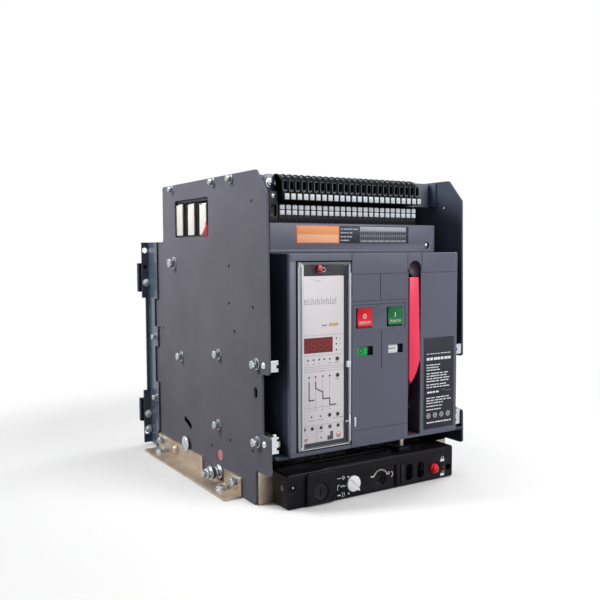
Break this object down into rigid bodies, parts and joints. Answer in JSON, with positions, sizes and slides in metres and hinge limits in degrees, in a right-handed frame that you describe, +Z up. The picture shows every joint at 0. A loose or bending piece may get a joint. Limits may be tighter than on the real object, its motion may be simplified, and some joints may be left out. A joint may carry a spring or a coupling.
{
  "type": "air circuit breaker",
  "caption": "Draw-out air circuit breaker in its cradle, with racking drive, push buttons, charging handle, electronic controller under a clear door and rear busbars.",
  "frame": {"origin": "centre of the four foot holes, on the mounting surface", "axes": "+Z up, +X to the right seen from the front, +Y to the rear, where the busbars leave"},
  "size_m": [0.375, 0.424, 0.4215],
  "materials": {
    "cradle_steel": "satin",
    "black_steel": "gloss",
    "yellow_zinc": "satin",
    "bright_zinc": "satin",
    "tinned_copper": "satin",
    "black_moulding": "matte",
    "brown_moulding": "matte",
    "cream_moulding": "matte",
    "panel_grey": "satin",
    "box_black": "satin",
    "controller_white": "satin",
    "clear_cover": "gloss",
    "red_plastic": "gloss",
    "green_plastic": "gloss",
    "handle_red": "gloss",
    "white_plastic": "gloss",
    "spring_steel": "satin"
  },
  "bodies": {
    "cradle": {"base_tray": "yellow_zinc", "cradle_bolts": "bright_zinc", "earth_bolts": "bright_zinc", "finger_clusters": "spring_steel", "fixed_terminal_block": "black_moulding", "key_cover": "box_black", "left_cradle_rails": "bright_zinc", "left_mounting_foot": "yellow_zinc", "left_rear_bracket": "black_steel", "left_side_plate": "cradle_steel", "left_window_grille": "cream_moulding", "lower_busbars": "tinned_copper", "racking_box_housing": "box_black", "rear_insulating_base": "black_moulding", "right_cradle_rails": "bright_zinc", "right_mounting_foot": "yellow_zinc", "right_rear_bracket": "black_steel", "right_side_plate": "cradle_steel", "right_window_grille": "cream_moulding", "terminal_end_bracket": "cradle_steel", "terminal_mount_sheet": "cradle_steel", "top_front_beam": "cradle_steel", "top_rear_beam": "cradle_steel", "upper_busbars": "tinned_copper"},
    "racking_carriage": {"racking_carriage": "bright_zinc"},
    "racking_screw": {"racking_screw": "bright_zinc"},
    "position_pointer": {"position_pointer": "white_plastic"},
    "unlock_button": {"unlock_button": "red_plastic"},
    "padlock_tab": {"padlock_tab": "box_black"},
    "key_lock": {"key_lock": "bright_zinc"},
    "left_slide_rail": {"left_slide_rail": "bright_zinc"},
    "right_slide_rail": {"right_slide_rail": "bright_zinc"},
    "charging_handle": {"charging_handle": "handle_red"},
    "off_button": {"off_button": "red_plastic"},
    "on_button": {"on_button": "green_plastic"},
    "reset_button": {"reset_button": "red_plastic"},
    "controller_cover": {"controller_cover": "clear_cover"},
    "main_shaft": {"main_shaft": "bright_zinc"},
    "contact_arms": {"contact_arms": "tinned_copper"},
    "camshaft": {"camshaft": "bright_zinc"},
    "state_indicator": {"state_indicator": "green_plastic"},
    "charge_indicator": {"charge_indicator": "white_plastic"},
    "breaker": {"left_body_plate": "cradle_steel", "right_body_plate": "cradle_steel", "terminal_end_block": "black_moulding", "arc_chute_1": "black_moulding", "arc_chute_2": "black_moulding", "arc_chute_3": "black_moulding", "pole_front_moulding": "black_moulding", "pole_rear_moulding": "black_moulding", "moving_terminal_block": "black_moulding", "current_transformers": "black_moulding", "pole_terminals": "tinned_copper", "mechanism_frame": "bright_zinc", "cover_hinge_pin": "bright_zinc", "handle_axle": "bright_zinc", "closing_spring": "spring_steel", "front_panel": "panel_grey", "upper_cover": "panel_grey", "controller_housing": "controller_white"}
  },
  "joints": [
    {"name": "racking_slide", "type": "slide", "parent": "cradle", "child": "racking_carriage", "axis": [0, -1, 0], "range_m": [0, 0.052]},
    {"name": "racking_screw_turn", "type": "hinge", "parent": "cradle", "child": "racking_screw", "pos_m": [0.0076, -0.2015, 0.0174], "axis": [0, -1, 0], "range_deg": [0, 4800]},
    {"name": "pointer_turn", "type": "hinge", "parent": "cradle", "child": "position_pointer", "pos_m": [-0.0369, -0.2215, 0.0181], "axis": [0, 1, 0], "range_deg": [0, 110]},
    {"name": "key_turn", "type": "hinge", "parent": "cradle", "child": "key_lock", "pos_m": [-0.09, -0.2245, 0.016], "axis": [0, 1, 0], "range_deg": [0, 90]},
    {"name": "unlock_push", "type": "slide", "parent": "cradle", "child": "unlock_button", "axis": [0, 1, 0], "range_m": [0, 0.005], "stiffness_N_per_m": 500, "springref_m": -0.001},
    {"name": "padlock_tab_pull", "type": "slide", "parent": "cradle", "child": "padlock_tab", "axis": [0, -1, 0], "range_m": [0, 0.012]},
    {"name": "body_withdraw", "type": "slide", "parent": "racking_carriage", "child": "breaker", "axis": [0, -1, 0], "range_m": [0, 0.25]},
    {"name": "left_rail_slide", "type": "slide", "parent": "cradle", "child": "left_slide_rail", "axis": [0, -1, 0], "range_m": [0, 0.252]},
    {"name": "right_rail_slide", "type": "slide", "parent": "cradle", "child": "right_slide_rail", "axis": [0, -1, 0], "range_m": [0, 0.252]},
    {"name": "charging_handle_pull", "type": "hinge", "parent": "breaker", "child": "charging_handle", "pos_m": [0.056, -0.2055, 0.106], "axis": [1, 0, 0], "range_deg": [0, 80], "stiffness_Nm_per_rad": 0.4, "springref_deg": -14.32},
    {"name": "off_push", "type": "slide", "parent": "breaker", "child": "off_button", "axis": [0, 1, 0], "range_m": [0, 0.005], "stiffness_N_per_m": 500, "springref_m": -0.001},
    {"name": "on_push", "type": "slide", "parent": "breaker", "child": "on_button", "axis": [0, 1, 0], "range_m": [0, 0.005], "stiffness_N_per_m": 500, "springref_m": -0.001},
    {"name": "reset_push", "type": "slide", "parent": "breaker", "child": "reset_button", "axis": [0, 1, 0], "range_m": [0, 0.004], "stiffness_N_per_m": 500, "springref_m": -0.001},
    {"name": "controller_cover_swing", "type": "hinge", "parent": "breaker", "child": "controller_cover", "pos_m": [-0.1226, -0.2288, 0.191], "axis": [0, 0, -1], "range_deg": [0, 105]},
    {"name": "main_shaft_turn", "type": "hinge", "parent": "breaker", "child": "main_shaft", "pos_m": [0, -0.0515, 0.165], "axis": [-1, 0, 0], "range_deg": [0, 40], "stiffness_Nm_per_rad": 2, "springref_deg": -20.05},
    {"name": "contact_swing", "type": "hinge", "parent": "breaker", "child": "contact_arms", "pos_m": [0, 0.0105, 0.128], "axis": [-1, 0, 0], "range_deg": [0, 14.2]},
    {"name": "camshaft_turn", "type": "hinge", "parent": "breaker", "child": "camshaft", "pos_m": [0, -0.1115, 0.24], "axis": [-1, 0, 0], "range_deg": [0, 180]},
    {"name": "state_flag_drop", "type": "slide", "parent": "breaker", "child": "state_indicator", "axis": [0, 0, -1], "range_m": [0, 0.014]},
    {"name": "charge_flag_drop", "type": "slide", "parent": "breaker", "child": "charge_indicator", "axis": [0, 0, -1], "range_m": [0, 0.014]}
  ],
  "couplings": [
    {"joint": "racking_screw_turn", "follows": "racking_slide", "rad_per_m": 1570.8},
    {"joint": "pointer_turn", "follows": "racking_slide", "rad_per_m": 33.563},
    {"joint": "left_rail_slide", "follows": "body_withdraw", "ratio": 1},
    {"joint": "right_rail_slide", "follows": "body_withdraw", "ratio": 1},
    {"joint": "contact_swing", "follows": "main_shaft_turn", "ratio": 0.35},
    {"joint": "state_flag_drop", "follows": "main_shaft_turn", "m_per_rad": 0.01862},
    {"joint": "charge_flag_drop", "follows": "camshaft_turn", "m_per_rad": 0.004138}
  ]
}
